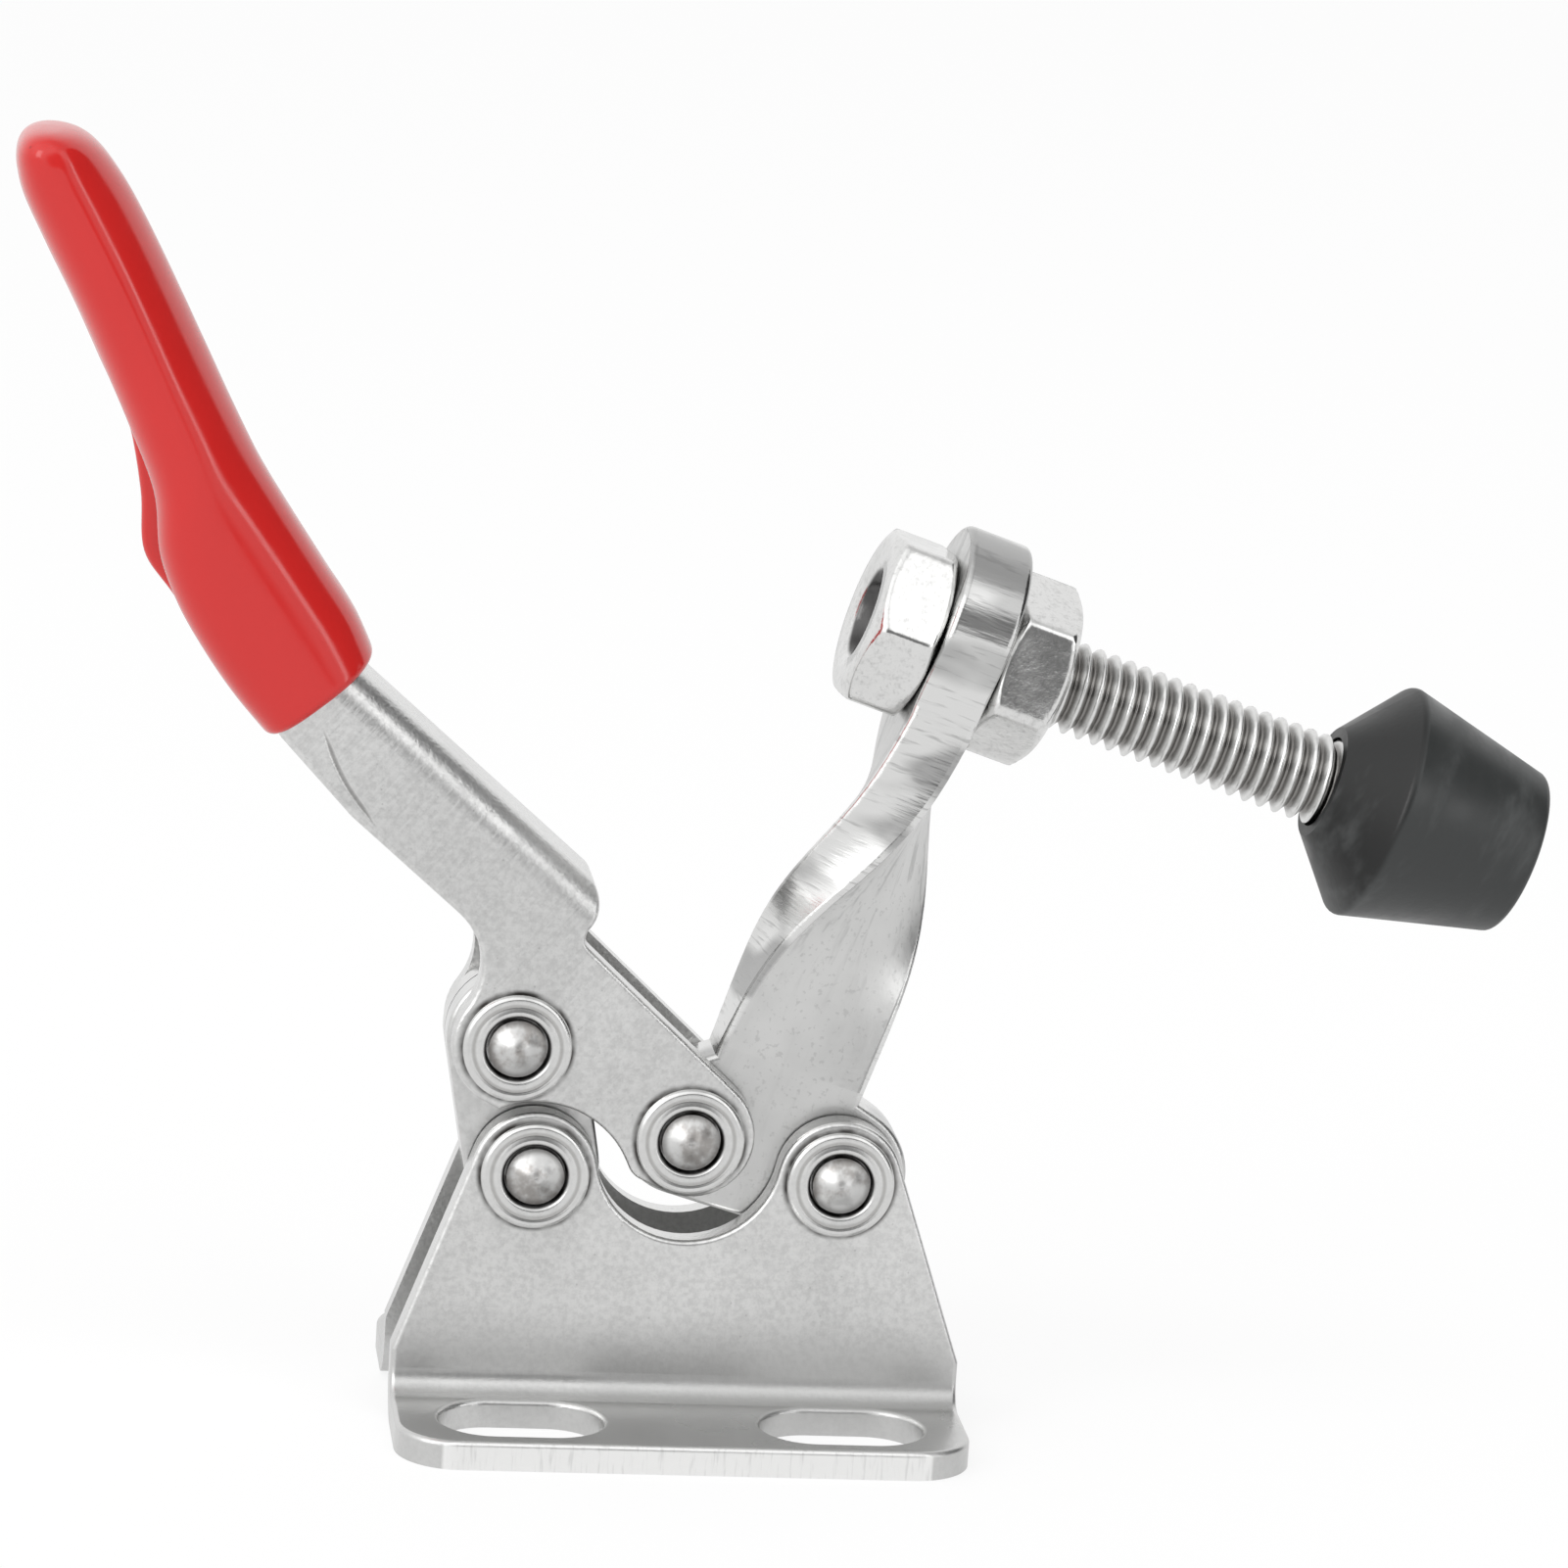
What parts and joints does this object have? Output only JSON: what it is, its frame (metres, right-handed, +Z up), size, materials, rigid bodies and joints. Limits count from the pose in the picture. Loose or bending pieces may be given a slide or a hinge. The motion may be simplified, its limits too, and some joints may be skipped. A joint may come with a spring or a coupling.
{
  "type": "toggle clamp",
  "caption": "Small horizontal toggle clamp: riveted plate base, dipped channel handle, twisted flat arm and a threaded spindle with a rubber tip, standing open.",
  "frame": {"origin": "on the mounting face, in the middle of the base", "axes": "+Z up from the mounting face, +X towards the clamping end, pivots along Y"},
  "size_m": [0.0656, 0.0188, 0.0535],
  "materials": {
    "stainless_sheet": "tumbled stainless sheet, satin, bright bevel on blanked edges",
    "stainless_bar": "tumbled stainless flat bar, satin",
    "stainless_thread": "turned stainless, fairly bright",
    "rivet_steel": "hammered rivet head with a little grime",
    "washer_steel": "turned ring with a bright rim",
    "red_vinyl": "glossy dip-moulded vinyl",
    "black_rubber": "moulded rubber, satin"
  },
  "bodies": {
    "base": {"base_plate_front": "stainless_sheet", "base_plate_rear": "stainless_sheet", "rivet_base_link": "rivet_steel", "rivet_base_arm": "rivet_steel", "washer_base_link_front": "washer_steel", "washer_base_link_rear": "washer_steel", "washer_base_arm_front": "washer_steel", "washer_base_arm_rear": "washer_steel"},
    "link": {"link_front": "stainless_bar", "link_rear": "stainless_bar"},
    "handle": {"handle_channel": "stainless_sheet", "handle_grip": "red_vinyl", "rivet_handle_link": "rivet_steel", "rivet_handle_arm_front": "rivet_steel", "rivet_handle_arm_rear": "rivet_steel", "washer_handle_link_front": "washer_steel", "washer_handle_link_rear": "washer_steel", "washer_handle_arm_front": "washer_steel", "washer_handle_arm_rear": "washer_steel"},
    "arm": {"clamp_arm": "stainless_bar", "spindle": "stainless_thread", "lock_nut_outer": "stainless_thread", "lock_nut_inner": "stainless_thread", "rubber_tip": "black_rubber"}
  },
  "joints": [
    {"name": "arm_swing", "type": "hinge", "parent": "base", "child": "arm", "pos_m": [0.00647, 0, 0.0108], "axis": [0, 1, 0], "range_deg": [0, 70.18]},
    {"name": "link_swing", "type": "hinge", "parent": "base", "child": "link", "pos_m": [-0.00647, 0, 0.0108], "axis": [0, 1, 0], "range_deg": [0, 72.41]},
    {"name": "handle_fold", "type": "hinge", "parent": "link", "child": "handle", "pos_m": [-0.00752, 0, 0.0163], "axis": [0, -1, 0], "range_deg": [0, 127.75]}
  ],
  "couplings": [
    {"joint": "link_swing", "follows": "arm_swing", "ratio": 1.0317},
    {"joint": "handle_fold", "follows": "arm_swing", "ratio": 1.8201}
  ]
}
